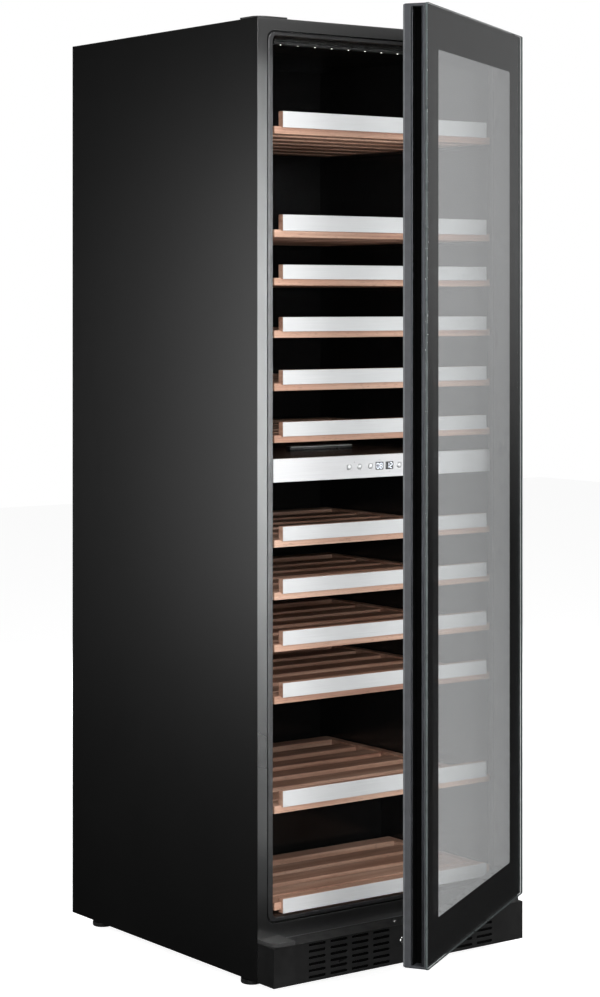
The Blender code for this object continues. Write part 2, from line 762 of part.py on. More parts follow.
def hinge_bracket_lower():
    origin = (PIVOT.x, PIVOT.y, KICK_TOP)
    bracket = place("hinge_bracket_lower", lower_plate(1), "hinge_grey", origin)
    low, high = bracket_flange()
    high = (high[0], high[1], KICK_TOP + LOWER_CAP_HEIGHT / 2)
    helper(bracket, boxes([(low, high)]), "UNION")
    foot = KICK_TOP + LOWER_CAP_HEIGHT / 2
    pin = rod(PIN_RADIUS, (PIVOT.x, PIVOT.y, 0.0), foot, DOOR_Z0 + PIN_REACH, 2)
    helper(bracket, pin, "UNION")


def corner_cap_lower():
    place("corner_cap_lower", lower_plate(-1), "hinge_grey", (-HALF, FRONT, KICK_TOP))


def hinge_bracket_upper():
    outline = cap_outline(1, CAP_LENGTH + CAP_RADIUS, FRONT - UPPER_CAP_REACH, FRONT + UPPER_CAP_DEPTH)
    top = CASE_TOP + GAP + UPPER_CAP_HEIGHT
    shape = prism(outline, CASE_TOP + GAP, top, 2)
    origin = (PIVOT.x, PIVOT.y, CASE_TOP)
    bracket = place("hinge_bracket_upper", shape, "hinge_grey", origin)
    pin = rod(PIN_RADIUS, (PIVOT.x, PIVOT.y, 0.0), DOOR_Z1 - PIN_REACH, top - UPPER_CAP_HEIGHT / 2, 2)
    helper(bracket, pin, "UNION")


def corner_cap_upper():
    outline = cap_outline(-1, CAP_LENGTH + CAP_RADIUS, FRONT + SHEET, FRONT + UPPER_CAP_DEPTH)
    shape = prism(outline, CASE_TOP + GAP, CASE_TOP + GAP + UPPER_CAP_HEIGHT, 2)
    place("corner_cap_upper", shape, "hinge_grey", (-HALF, FRONT, CASE_TOP))


# ---- Machine niche and feet ----

def compressor():
    x, inset = COMPRESSOR_PLACE
    base = CASE_LOW + BASE_SHEET + GAP
    centre = (x, REAR - inset, base)
    radius = COMPRESSOR_RADIUS
    profile = [(radius * out, COMPRESSOR_HEIGHT * up) for out, up in COMPRESSOR_PROFILE]
    can = turned("compressor", profile, "compressor_black", centre)
    reach = COMPRESSOR_PLATE_SHARE * radius
    low = (x - reach, centre[1] - radius / 2, base)
    high = (x + reach, centre[1] + radius / 2, base + 2 * BASE_SHEET)
    helper(can, boxes([(low, high)]), "UNION")


def power_inlet():
    x, z = INLET_PLACE
    middle = CASE_LOW + z
    half_u, half_v = INLET_WIDTH / 2, INLET_HEIGHT / 2
    wall, back = INLET_WALL, REAR - INLET_DEPTH
    body = ((x - half_u, back, middle - half_v), (x + half_u, REAR, middle + half_v))
    cavity = (
        (x - half_u + wall, back + wall, middle - half_v + wall),
        (x + half_u - wall, REAR + wall, middle + half_v - wall),
    )
    socket = block("power_inlet", [body], "socket_black", [cavity], (x, REAR, middle))
    pins = []
    for shift, rise in INLET_PIN_PLACES:
        low = (x + shift - INLET_PIN / 2, back + wall / 2, middle + rise - INLET_PIN)
        high = (x + shift + INLET_PIN / 2, REAR - wall, middle + rise + INLET_PIN)
        pins.append((low, high))
    helper(socket, boxes(pins), "UNION")


def feet():
    profile = [
        (FOOT_RADIUS - FOOT_CHAMFER, 0.0),
        (FOOT_RADIUS, FOOT_CHAMFER),
        (FOOT_RADIUS, FOOT_SOLE - FOOT_CHAMFER),
        (FOOT_RADIUS - FOOT_SHOULDER, FOOT_SOLE),
        (FOOT_STEM, FOOT_SOLE),
        (FOOT_STEM, FOOT_STEM_TOP),
    ]
    for name, (x, y) in foot_places().items():
        turned(name, profile, "foot_black", (x, y, 0.0))


# ---- Door, drawn shut and turned with its hinge axis ----

def door_span(inset):
    return (DOOR_X0 + inset, DOOR_X1 - inset)


def door_loop(inset, radius, behind_front):
    return (door_span(inset), DOOR_Z0 + inset, DOOR_Z1 - inset, radius, DOOR_Y + behind_front)


def door_axis():
    axis = bpy.data.objects.new("door_hinge_axis", None)
    PARTS.objects.link(axis)
    axis.empty_display_size = 0.1
    axis.location = PIVOT
    axis.rotation_euler = (0.0, 0.0, math.radians(DOOR_REST_DEGREES))
    return axis


def door_glass_outer(axis):
    outline = rounded_outline(*door_span(0.0), DOOR_Z0, DOOR_Z1, PANE_RADIUS)
    shape = prism(outline, DOOR_Y, DOOR_Y + PANE, 1)
    place("door_glass_outer", shape, "door_glass", PIVOT, axis)


def door_frame(axis):
    near = PANE + GAP
    far = DOOR_FRONT - DOOR_INNER
    rebate = STILE - REBATE
    loops = [
        door_loop(SHEET / 2, PANE_RADIUS, near),
        door_loop(SHEET / 2, PANE_RADIUS, far),
        door_loop(rebate, PANE_RADIUS, far),
        door_loop(rebate, PANE_RADIUS, far - REBATE_DEPTH),
        door_loop(STILE, PANE_RADIUS, far - REBATE_DEPTH),
        door_loop(STILE, PANE_RADIUS, near),
    ]
    frame = place("door_frame", ring(loops), "door_frame_grey", PIVOT, axis)
    front, back = DOOR_Y + GRIP_FRONT - GAP, DOOR_Y + GRIP_FRONT + GRIP_WIDTH + GAP
    low = (DOOR_X0 - GRIP_WEB, front, DOOR_Z0 + GRIP_END - GAP)
    high = (DOOR_X0 + GRIP_DEPTH + GAP, back, DOOR_Z1 - GRIP_END + GAP)
    helper(frame, boxes([(low, high)]), "DIFFERENCE")
    hole = PIN_RADIUS + GAP
    depth = PIN_REACH + 5 * SHEET
    for end, into in ((DOOR_Z0, depth), (DOOR_Z1, -depth)):
        low, high = sorted((end - into, end + into))
        helper(frame, rod(hole, (PIVOT.x, PIVOT.y, 0.0), low, high, 2), "DIFFERENCE")
    strike = rod(BOLT_RADIUS + 3 * GAP, (0.0, BOLT_Y, DOOR_Z0), -depth, depth, 2)
    helper(frame, strike, "DIFFERENCE")


def door_grip(axis):
    front = DOOR_Y + GRIP_FRONT
    back = front + GRIP_WIDTH
    low, high = DOOR_Z0 + GRIP_END, DOOR_Z1 - GRIP_END
    inner = DOOR_X0 + GRIP_DEPTH
    body = ((DOOR_X0, front, low), (inner, back, high))
    channel_low = (DOOR_X0 - SHEET, front + GRIP_FRONT_LIP, low - SHEET)
    channel_high = (inner - GRIP_WEB, back - GRIP_REAR_LIP, high + SHEET)
    channel = (channel_low, channel_high)
    block("door_grip", [body], "grip_anodised", [channel], PIVOT, axis)


def door_gasket(axis):
    base = DOOR_FRONT - DOOR_INNER + GAP
    lip = DOOR_FRONT - GAP
    inner = GASKET_OUTER + GASKET_WIDTH
    bulge = GASKET_BULGE
    loops = [
        door_loop(GASKET_OUTER + bulge, PANE_RADIUS, base),
        door_loop(GASKET_OUTER, PANE_RADIUS + bulge, base + bulge),
        door_loop(GASKET_OUTER, PANE_RADIUS + bulge, lip - bulge),
        door_loop(GASKET_OUTER + bulge, PANE_RADIUS, lip),
        door_loop(inner - bulge, PANE_RADIUS, lip),
        door_loop(inner, PANE_RADIUS, lip - bulge),
        door_loop(inner, PANE_RADIUS, base + bulge),
        door_loop(inner - bulge, PANE_RADIUS, base),
    ]
    place("door_gasket", ring(loops), "gasket_black", PIVOT, axis)


def door_glass_inner(axis):
    inset = STILE - REBATE + GAP
    outline = rounded_outline(*door_span(inset), DOOR_Z0 + inset, DOOR_Z1 - inset, PANE_RADIUS)
    front = DOOR_Y + DOOR_FRONT - DOOR_INNER - REBATE_DEPTH + GAP
    shape = prism(outline, front, front + INNER_PANE, 1)
    place("door_glass_inner", shape, "clear_glass", PIVOT, axis)


def door():
    axis = door_axis()
    door_glass_outer(axis)
    door_frame(axis)
    door_grip(axis)
    door_gasket(axis)
    door_glass_inner(axis)


clear_scene()
PARTS = make_collection("wine_cooler")
TOOLS = make_collection("cutters", hidden=True)
outer_casing()
rear_panel()
base_pan()
front_frame()
opening_trim()
liner_side("liner_left", -1)
liner_side("liner_right", 1)
liner_rear()
liner_ceiling()
liner_floor()
zone_divider()
control_fascia()
control_keys()
shelves()
kick_plate()
lock_plug()
lock_bolt()
hinge_bracket_lower()
hinge_bracket_upper()
corner_cap_lower()
corner_cap_upper()
compressor()
power_inlet()
feet()
door()
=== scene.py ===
"""Looks of the two-zone wine cooler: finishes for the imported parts, fine pieces, studio and camera."""

import json
import math

import bmesh
import bpy
from mathutils import Matrix, Vector

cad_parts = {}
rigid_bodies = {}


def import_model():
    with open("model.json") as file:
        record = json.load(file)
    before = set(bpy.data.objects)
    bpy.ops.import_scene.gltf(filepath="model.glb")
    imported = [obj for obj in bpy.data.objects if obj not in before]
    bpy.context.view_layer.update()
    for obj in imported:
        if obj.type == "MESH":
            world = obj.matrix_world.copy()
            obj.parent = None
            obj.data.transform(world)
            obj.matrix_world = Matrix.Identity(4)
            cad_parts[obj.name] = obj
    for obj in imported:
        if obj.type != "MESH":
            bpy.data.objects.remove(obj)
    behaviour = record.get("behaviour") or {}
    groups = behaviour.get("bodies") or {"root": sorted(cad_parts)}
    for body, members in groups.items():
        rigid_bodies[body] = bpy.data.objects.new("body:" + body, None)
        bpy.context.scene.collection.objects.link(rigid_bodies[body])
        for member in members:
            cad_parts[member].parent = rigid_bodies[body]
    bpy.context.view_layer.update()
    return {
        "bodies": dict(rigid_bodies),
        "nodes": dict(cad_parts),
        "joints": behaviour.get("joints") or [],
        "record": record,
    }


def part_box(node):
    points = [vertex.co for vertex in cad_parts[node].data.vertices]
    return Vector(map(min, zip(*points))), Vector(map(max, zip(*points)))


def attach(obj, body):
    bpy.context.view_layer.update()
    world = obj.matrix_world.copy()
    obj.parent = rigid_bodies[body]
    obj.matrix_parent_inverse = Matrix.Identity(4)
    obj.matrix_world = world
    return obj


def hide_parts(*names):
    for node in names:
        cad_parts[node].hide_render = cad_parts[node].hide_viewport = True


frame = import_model()

MM = 0.001
NODES = frame["nodes"]
PIECES = bpy.data.collections.new("fine_pieces")
bpy.context.scene.collection.children.link(PIECES)

# The door hinge's lower limit is the shut door, so the rest angle is the way back from it.
HINGE = next(j for j in frame["joints"] if j["name"] == "door_hinge")
PIVOT = Vector(HINGE["pos_m"])
REST_TURN = math.radians(-HINGE["range_deg"][0])
DOOR_TURN = (
    Matrix.Translation(PIVOT) @ Matrix.Rotation(REST_TURN, 4, "Z") @ Matrix.Translation(-PIVOT)
)
KEYS = [name for name in frame["bodies"] if name.startswith("key_")]


def shut_box(node):
    """(lowest corner, highest corner) of a door node with the door shut."""
    back = DOOR_TURN.inverted()
    points = [back @ v.co for v in NODES[node].data.vertices]
    low = Vector([min(p[a] for p in points) for a in range(3)])
    high = Vector([max(p[a] for p in points) for a in range(3)])
    return low, high


# ---- Materials ----

class Recipe:
    """A Principled material and the nodes that feed it."""

    def __init__(self, name, colour, roughness, metallic=0.0, **sockets):
        self.material = bpy.data.materials.new(name)
        self.material.use_nodes = True
        self.tree = self.material.node_tree
        self.shader = self.tree.nodes["Principled BSDF"]
        self.shader.inputs["Base Color"].default_value = (*colour, 1.0)
        self.shader.inputs["Roughness"].default_value = roughness
        self.shader.inputs["Metallic"].default_value = metallic
        for socket, value in sockets.items():
            self.shader.inputs[socket.replace("_", " ")].default_value = value
        self.normal = None

    def add(self, kind, **settings):
        node = self.tree.nodes.new(kind)
        for key, value in settings.items():
            setattr(node, key, value)
        return node

    def link(self, source, target):
        self.tree.links.new(source, target)

    def place(self, scale):
        """Object coordinates, stretched by scale."""
        coordinate = self.add("ShaderNodeTexCoord")
        mapping = self.add("ShaderNodeMapping")
        mapping.inputs["Scale"].default_value = scale
        self.link(coordinate.outputs["Object"], mapping.inputs["Vector"])
        return mapping.outputs["Vector"]

    def noise(self, scale, detail=2.0, stretch=(1.0, 1.0, 1.0)):
        texture = self.add("ShaderNodeTexNoise")
        texture.inputs["Scale"].default_value = scale
        texture.inputs["Detail"].default_value = detail
        self.link(self.place(stretch), texture.inputs["Vector"])
        return texture.outputs["Fac"]

    def spread(self, factor, low, high, start=0.3, end=0.7):
        """Maps a 0..1 factor to low..high between start and end."""
        mapping = self.add("ShaderNodeMapRange")
        for socket, value in (("From Min", start), ("From Max", end), ("To Min", low), ("To Max", high)):
            mapping.inputs[socket].default_value = value
        self.link(factor, mapping.inputs["Value"])
        return mapping.outputs["Result"]

    def ramp(self, factor, stops):
        """A colour ramp of (place, colour) stops."""
        ramp = self.add("ShaderNodeValToRGB")
        elements = ramp.color_ramp.elements
        while len(elements) < len(stops):
            elements.new(0.5)
        for element, (where, colour) in zip(elements, stops):
            element.position = where
            element.color = (*colour, 1.0)
        self.link(factor, ramp.inputs["Fac"])
        return ramp.outputs["Color"]

    def bump(self, height, strength, distance):
        node = self.add("ShaderNodeBump")
        node.inputs["Strength"].default_value = strength
        node.inputs["Distance"].default_value = distance
        self.link(height, node.inputs["Height"])
        if self.normal:
            self.link(self.normal, node.inputs["Normal"])
        self.normal = node.outputs["Normal"]
        self.link(self.normal, self.shader.inputs["Normal"])

    def rough(self, factor, low, high):
        self.link(self.spread(factor, low, high), self.shader.inputs["Roughness"])

    def colour(self, factor, dark, light, start=0.3, end=0.7):
        self.link(self.ramp(factor, ((start, dark), (end, light))), self.shader.inputs["Base Color"])


def paint(name, dark, light, roughness, texture=900.0, strength=0.03, **sockets):
    """Sprayed enamel: fine orange peel, with tone and gloss that drift a little over the panel."""
    recipe = Recipe(name, light, roughness, **sockets)
    recipe.colour(recipe.noise(5.0, 3.0), dark, light)
    recipe.rough(recipe.noise(40.0, 3.0), roughness - 0.01, roughness + 0.01)
    recipe.bump(recipe.noise(texture, 2.0), strength, 0.05 * MM)
    return recipe.material


def satin(name, dark, light, roughness, **sockets):
    """Fine metallic enamel: tone and gloss drift slowly, over a barely wavy surface."""
    recipe = Recipe(name, light, roughness, **sockets)
    recipe.colour(recipe.noise(4.0, 1.0), dark, light)
    recipe.rough(recipe.noise(3.0, 0.0), roughness - 0.01, roughness + 0.01)
    recipe.bump(recipe.noise(20.0, 0.0), 0.02, 0.05 * MM)
    return recipe.material


def moulded(name, dark, light, roughness, grain=1500.0, strength=0.25, **sockets):
    """Moulded plastic with a spark-eroded grain."""
    recipe = Recipe(name, light, roughness, **sockets)
    recipe.colour(recipe.noise(60.0, 3.0), dark, light)
    recipe.rough(recipe.noise(35.0, 3.0), roughness - 0.05, roughness + 0.05)
    recipe.bump(recipe.noise(grain, 1.0), strength, 0.06 * MM)
    recipe.bump(recipe.noise(12.0, 1.0), 0.10, 0.3 * MM)
    return recipe.material


def brushed(name, dark, light, roughness, along="X", strength=0.12, **sockets):
    """Metal brushed along one axis: long hairlines in tone, gloss and height."""
    across, lengthways = 2400.0, 9.0
    stretch = [lengthways if axis == along else across for axis in "XYZ"]
    recipe = Recipe(name, light, roughness, sockets.pop("Metallic", 1.0), **sockets)
    lines = recipe.noise(1.0, 3.0, stretch)
    recipe.colour(lines, dark, light)
    recipe.rough(lines, roughness - 0.07, roughness + 0.07)
    recipe.bump(lines, strength, 0.03 * MM)
    return recipe.material


def beech(name):
    """Steamed beech: pinkish brown, with grain along X, short dark flecks and open pores."""
    recipe = Recipe(name, (0.6, 0.35, 0.22), 0.5)
    grain = recipe.noise(1.0, 6.0, (4.0, 70.0, 160.0))
    wide = recipe.noise(1.0, 2.0, (1.5, 18.0, 22.0))
    mix = recipe.add("ShaderNodeMath", operation="ADD")
    recipe.link(grain, mix.inputs[0])
    recipe.link(wide, mix.inputs[1])
    half = recipe.spread(mix.outputs[0], 0.0, 1.0, 0.6, 1.4)
    tones = ((0.10, (0.250, 0.118, 0.078)), (0.45, (0.430, 0.245, 0.170)), (0.85, (0.570, 0.370, 0.275)))
    base = recipe.ramp(half, tones)
    fleck = recipe.spread(recipe.noise(1.0, 2.0, (90.0, 900.0, 900.0)), 1.0, 0.62, 0.60, 0.72)
    tint = recipe.add("ShaderNodeMix", data_type="RGBA", blend_type="MULTIPLY")
    tint.inputs["Factor"].default_value = 1.0
    recipe.link(base, tint.inputs[6])
    recipe.link(fleck, tint.inputs[7])
    recipe.link(tint.outputs[2], recipe.shader.inputs["Base Color"])
    recipe.rough(grain, 0.42, 0.58)
    recipe.bump(grain, 0.25, 0.12 * MM)
    recipe.bump(fleck, 0.20, 0.05 * MM)
    return recipe.material


def rubber(name, tone, roughness=0.6):
    """Matt rubber with a fine dusty grain."""
    recipe = Recipe(name, (tone,) * 3, roughness)
    recipe.colour(recipe.noise(120.0, 4.0), (tone * 0.8,) * 3, (tone * 1.15,) * 3)
    recipe.rough(recipe.noise(400.0, 2.0), roughness - 0.08, roughness + 0.08)
    recipe.bump(recipe.noise(2200.0, 2.0), 0.15, 0.04 * MM)
    return recipe.material


def lamp(name, colour, strength):
    """A lit diode under a diffuser, a little uneven."""
    recipe = Recipe(name, colour, 0.3)
    recipe.shader.inputs["Emission Color"].default_value = (*colour, 1.0)
    recipe.shader.inputs["Emission Strength"].default_value = strength
    recipe.rough(recipe.noise(300.0, 2.0), 0.25, 0.35)
    return recipe.material


def pane(name, tint, mirror_roughness, mirror_share, haze_and_painted_reflection_share, glow):
    """Thin glass: it lets light straight through, mirrors more at a slant, and has a faint even haze.

    The haze also glows, a painted reflection of the pale studio, from its first value at the sill to its
    second at the top.
    """
    material = bpy.data.materials.new(name)
    material.use_nodes = True
    tree = material.node_tree
    tree.nodes.clear()
    links = tree.links

    def node(kind, **inputs):
        made = tree.nodes.new(kind)
        for socket, value in inputs.items():
            made.inputs[socket.replace("_", " ")].default_value = value
        return made

    out = node("ShaderNodeOutputMaterial")
    clear = node("ShaderNodeBsdfTransparent", Color=(*tint, 1.0))
    mirror = node("ShaderNodeBsdfGlossy", Roughness=mirror_roughness)
    slant = node("ShaderNodeLayerWeight", Blend=0.5)
    fifth = tree.nodes.new("ShaderNodeMath")
    fifth.operation = "POWER"
    fifth.inputs[1].default_value = 5.0
    schlick = tree.nodes.new("ShaderNodeMath")
    schlick.operation = "MULTIPLY_ADD"
    schlick.inputs[1].default_value = 0.96 * mirror_share
    schlick.inputs[2].default_value = 0.04 * mirror_share
    film = node("ShaderNodeBsdfDiffuse", Color=(0.70, 0.70, 0.71, 1.0))
    # painted reflection: an even glow that stands in for the studio mirrored in the glass
    painted_reflection = node("ShaderNodeEmission", Color=(0.99, 1.0, 1.0, 1.0))
    haze_and_painted_reflection = tree.nodes.new("ShaderNodeAddShader")
    cloud = node("ShaderNodeTexNoise", Scale=2.0)
    share = node("ShaderNodeMapRange", To_Min=haze_and_painted_reflection_share * 0.97, To_Max=haze_and_painted_reflection_share * 1.03)
    painted_reflection_strength = node("ShaderNodeMapRange", From_Min=0.3, From_Max=1.6, To_Min=glow[0], To_Max=glow[1])
    height = tree.nodes.new("ShaderNodeSeparateXYZ")
    hazed_with_painted_reflection = tree.nodes.new("ShaderNodeMixShader")
    mixed = tree.nodes.new("ShaderNodeMixShader")
    coordinate = tree.nodes.new("ShaderNodeTexCoord")
    links.new(coordinate.outputs["Object"], cloud.inputs["Vector"])
    links.new(coordinate.outputs["Object"], height.inputs["Vector"])
    links.new(height.outputs["Z"], painted_reflection_strength.inputs["Value"])
    links.new(painted_reflection_strength.outputs["Result"], painted_reflection.inputs["Strength"])
    links.new(film.outputs["BSDF"], haze_and_painted_reflection.inputs[0])
    links.new(painted_reflection.outputs["Emission"], haze_and_painted_reflection.inputs[1])
    links.new(cloud.outputs["Fac"], share.inputs["Value"])
    links.new(share.outputs["Result"], hazed_with_painted_reflection.inputs["Fac"])
    links.new(clear.outputs["BSDF"], hazed_with_painted_reflection.inputs[1])
    links.new(haze_and_painted_reflection.outputs["Shader"], hazed_with_painted_reflection.inputs[2])
    links.new(slant.outputs["Facing"], fifth.inputs[0])
    links.new(fifth.outputs["Value"], schlick.inputs[0])
    links.new(schlick.outputs["Value"], mixed.inputs["Fac"])
    links.new(hazed_with_painted_reflection.outputs["Shader"], mixed.inputs[1])
    links.new(mirror.outputs["BSDF"], mixed.inputs[2])
    links.new(mixed.outputs["Shader"], out.inputs["Surface"])
    return material


MATERIALS = {
    "casing_black": paint("satin_black_enamel", (0.003,) * 3, (0.004,) * 3, 0.36, Specular_IOR_Level=0.30),
    "frame_grey": satin("frame_enamel", (0.215,) * 3, (0.235,) * 3, 0.28, Metallic=1.0),
    "trim_grey": moulded(
        "trim_satin", (0.120, 0.120, 0.122), (0.140, 0.140, 0.142), 0.33, strength=0.02, Metallic=0.95
    ),
    "liner_black": moulded("liner_plastic", (0.006,) * 3, (0.009,) * 3, 0.22, 700.0, 0.10),
    "fascia_silver": brushed(
        "fascia_brushed", (0.56, 0.56, 0.57), (0.66, 0.66, 0.67), 0.44, Metallic=0.10, strength=0.05
    ),
    "key_silver": brushed("key_brushed", (0.70, 0.70, 0.71), (0.84, 0.84, 0.85), 0.34),
    "strip_silver": brushed(
        "strip_brushed", (0.50, 0.505, 0.51), (0.59, 0.595, 0.60), 0.46, Metallic=0.08, strength=0.05
    ),
    "shelf_wood": beech("steamed_beech"),
    "kick_black": moulded("kick_plastic", (0.006,) * 3, (0.009,) * 3, 0.40, Specular_IOR_Level=0.30),
    "hinge_grey": paint("hinge_enamel", (0.028,) * 3, (0.036,) * 3, 0.36),
    "lock_chrome": brushed("lock_steel", (0.50,) * 3, (0.66,) * 3, 0.22),
    "foot_black": moulded("foot_plastic", (0.010,) * 3, (0.016,) * 3, 0.55),
    "zinc": brushed("zinc_sheet", (0.36, 0.37, 0.38), (0.50, 0.51, 0.52), 0.42, "Y"),
    "compressor_black": paint("compressor_enamel", (0.010,) * 3, (0.016,) * 3, 0.30),
    "socket_black": moulded("socket_plastic", (0.010,) * 3, (0.015,) * 3, 0.50),
    "door_glass": pane("front_glass", (0.99, 0.995, 0.995), 0.01, 1.0, 0.005, (0.0, 0.0)),
    "clear_glass": pane("inner_glass", (0.985, 0.99, 0.99), 0.04, 0.3, 0.005, (0.0, 0.0)),
    "door_frame_grey": moulded("door_frame_plastic", (0.040, 0.042, 0.046), (0.052, 0.054, 0.060), 0.40),
    "grip_anodised": brushed("grip_anodised", (0.095, 0.100, 0.110), (0.125, 0.130, 0.142), 0.30, "Z"),
    "gasket_black": rubber("gasket_rubber", 0.035),
}
# the window's haze, lit by the lamps, with an even glow that is a painted reflection of the studio, brighter
# towards the sill
HAZE_AND_PAINTED_REFLECTION = pane("window_haze_and_painted_reflection", (0.99, 0.99, 0.99), 0.20, 0.02, 0.125, (0.98, 0.55))
FRIT = paint("black_frit", (0.0012,) * 3, (0.002,) * 3, 0.60, 600.0, 0.01, Specular_IOR_Level=0.0)
EDGE_BAR = brushed("edge_bar", (0.60,) * 3, (0.75,) * 3, 0.45, "Z")
GLASS_EDGE = moulded("glass_edge", (0.07, 0.08, 0.08), (0.10, 0.12, 0.12), 0.30, 300.0, 0.20)
RIM = moulded("rim_plastic", (0.09, 0.095, 0.10), (0.12, 0.125, 0.13), 0.36)
WINDOW = moulded("display_window", (0.020, 0.021, 0.023), (0.030, 0.031, 0.033), 0.15, 800.0, 0.02)
DIGIT = lamp("display_digit", (0.85, 0.90, 1.00), 1.2)
PRINT = moulded("grey_print", (0.13,) * 3, (0.18,) * 3, 0.45, 2500.0, 0.10)
DIODE = lamp("white_diode", (1.00, 0.98, 0.94), 2.0)
DIFFUSER = lamp("lamp_diffuser", (0.80, 0.80, 0.78), 0.15)
LAMP_BODY = moulded("lamp_body", (0.030,) * 3, (0.045,) * 3, 0.30)
# near-black and almost without gloss: painted shade, for the grip's channel and behind the kick plate's
# slots
PAINTED_SHADE_BLACK = moulded("channel_painted_shade_lining", (0.0010,) * 3, (0.0018,) * 3, 0.85, Specular_IOR_Level=0.05)
SCREW = brushed("screw_steel", (0.10,) * 3, (0.20,) * 3, 0.34)

SHARP = math.radians(35)
SLOT_OF = {row["node"]: row["material_slot"] for row in frame["record"]["subparts"]}


def smoothing_nodes():
    """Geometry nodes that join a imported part's faces and shade smooth all but its sharp edges."""
    tree = bpy.data.node_groups.new("weld_and_smooth", "GeometryNodeTree")
    for way in ("INPUT", "OUTPUT"):
        tree.interface.new_socket("Geometry", in_out=way, socket_type="NodeSocketGeometry")
    first = tree.nodes.new("NodeGroupInput")
    last = tree.nodes.new("NodeGroupOutput")
    merge = tree.nodes.new("GeometryNodeMergeByDistance")
    merge.inputs["Distance"].default_value = 0.01 * MM
    faces = tree.nodes.new("GeometryNodeSetShadeSmooth")
    edges = tree.nodes.new("GeometryNodeSetShadeSmooth")
    edges.domain = "EDGE"
    edges.inputs["Shade Smooth"].default_value = False
    angle = tree.nodes.new("GeometryNodeInputMeshEdgeAngle")
    sharp = tree.nodes.new("ShaderNodeMath")
    sharp.operation = "GREATER_THAN"
    sharp.inputs[1].default_value = SHARP
    tree.links.new(first.outputs["Geometry"], merge.inputs["Geometry"])
    tree.links.new(merge.outputs["Geometry"], faces.inputs["Geometry"])
    tree.links.new(faces.outputs["Geometry"], edges.inputs["Geometry"])
    tree.links.new(angle.outputs["Unsigned Angle"], sharp.inputs[0])
    tree.links.new(sharp.outputs["Value"], edges.inputs["Selection"])
    tree.links.new(edges.outputs["Geometry"], last.inputs["Geometry"])
    return tree


SMOOTHING = smoothing_nodes()


def soften(obj, width, clamp=False):
    """Rounds the sharp edges, so that they catch the light."""
    rounding = obj.modifiers.new("round", "BEVEL")
    rounding.width = width
    rounding.segments = 2
    rounding.limit_method = "ANGLE"
    rounding.angle_limit = SHARP
    rounding.use_clamp_overlap = clamp
    rounding.harden_normals = True


# Edge radii in millimetres
EDGE_ROUNDING = {
    "outer_casing": 0.30, "front_frame": 0.30, "opening_trim": 0.25, "control_fascia": 0.35,
    "kick_plate": 0.45, "door_frame": 0.40, "door_grip": 0.35, "zone_divider": 0.40,
    "liner_left": 0.60, "liner_right": 0.60, "base_pan": 0.30, "rear_panel": 0.25,
    "corner_cap_upper": 0.50, "corner_cap_lower": 0.70, "power_inlet": 0.30,
    "door_glass_outer": 0.50, "door_glass_inner": 0.50,
}
SHELF_ROUNDING = 0.80
STRIP_ROUNDING = 0.25


def finish_cad_nodes():
    """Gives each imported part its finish, welded faces and rounded edges."""
    for name, obj in NODES.items():
        obj.data.materials.clear()
        obj.data.materials.append(MATERIALS[SLOT_OF[name]])
        obj.data.attributes.remove(obj.data.attributes["custom_normal"])
        welded = obj.modifiers.new("weld_and_smooth", "NODES")
        welded.node_group = SMOOTHING
        width = EDGE_ROUNDING.get(name, 0.0)
        if name.endswith("_frame") and name.startswith("shelf"):
            width = SHELF_ROUNDING
        elif name.endswith("_strip"):
            width = STRIP_ROUNDING
        if width:
            soften(obj, width * MM)


# ---- Building fine pieces ----

def piece(name, shape, material, body, turn=None, bevel=0.0, smooth=35.0):
    """Makes a mesh piece that rides on a body. A turn places what was drawn with the door shut."""
    bmesh.ops.recalc_face_normals(shape, faces=shape.faces)
    mesh = bpy.data.meshes.new(name)
    shape.to_mesh(mesh)
    shape.free()
    if turn is not None:
        mesh.transform(turn)
    mesh.shade_smooth()
    mesh.set_sharp_from_angle(angle=math.radians(smooth))
    mesh.materials.append(material)
    obj = bpy.data.objects.new(name, mesh)
    PIECES.objects.link(obj)
    if bevel:
        soften(obj, bevel, clamp=True)
    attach(obj, body)
    return obj


def outline(low_u, high_u, low_v, high_v, radius, steps=6):
    """Points round a rectangle with round corners, anticlockwise."""
    points = []
    corners = (
        (high_u - radius, high_v - radius, 0),
        (low_u + radius, high_v - radius, 90),
        (low_u + radius, low_v + radius, 180),
        (high_u - radius, low_v + radius, 270),
    )
    for u, v, start in corners:
        for step in range(steps + 1):
            angle = math.radians(start + 90 * step / steps)
            points.append((u + radius * math.cos(angle), v + radius * math.sin(angle)))
    return points


def loft(shape, rows, closed=False):
    """Skins a list of equal loops. Open ends are filled unless the loops close on themselves."""
    loops = [[shape.verts.new(point) for point in row] for row in rows]
    pairs = list(zip(loops, loops[1:]))
    if closed:
        pairs.append((loops[-1], loops[0]))
    else:
        shape.faces.new(loops[0])
        shape.faces.new(loops[-1])
    for first, second in pairs:
        count = len(first)
        for i in range(count):
            j = (i + 1) % count
            shape.faces.new((first[i], first[j], second[j], second[i]))


def sheet(shape, points, front, back):
    """Adds a flat sheet with the (x, z) outline, from front to back along Y."""
    loft(shape, [[(u, y, v) for u, v in points] for y in (front, back)])


def band(low, high, profile, steps=6):
    """A band round the box's X-Z outline. The profile is (inset, y, corner radius) rows, closed."""
    shape = bmesh.new()
    rows = []
    for inset, y, radius in profile:
        points = outline(low.x + inset, high.x - inset, low.z + inset, high.z - inset, radius, steps)
        rows.append([(u, y, v) for u, v in points])
    loft(shape, rows, closed=True)
    return shape


def add_box(shape, low, high):
    """Adds a box between two corners to the bmesh."""
    made = bmesh.ops.create_cube(shape, size=1.0)["verts"]
    size = [high[a] - low[a] for a in range(3)]
    middle = [(high[a] + low[a]) / 2 for a in range(3)]
    bmesh.ops.scale(shape, vec=size, verts=made)
    bmesh.ops.translate(shape, vec=middle, verts=made)


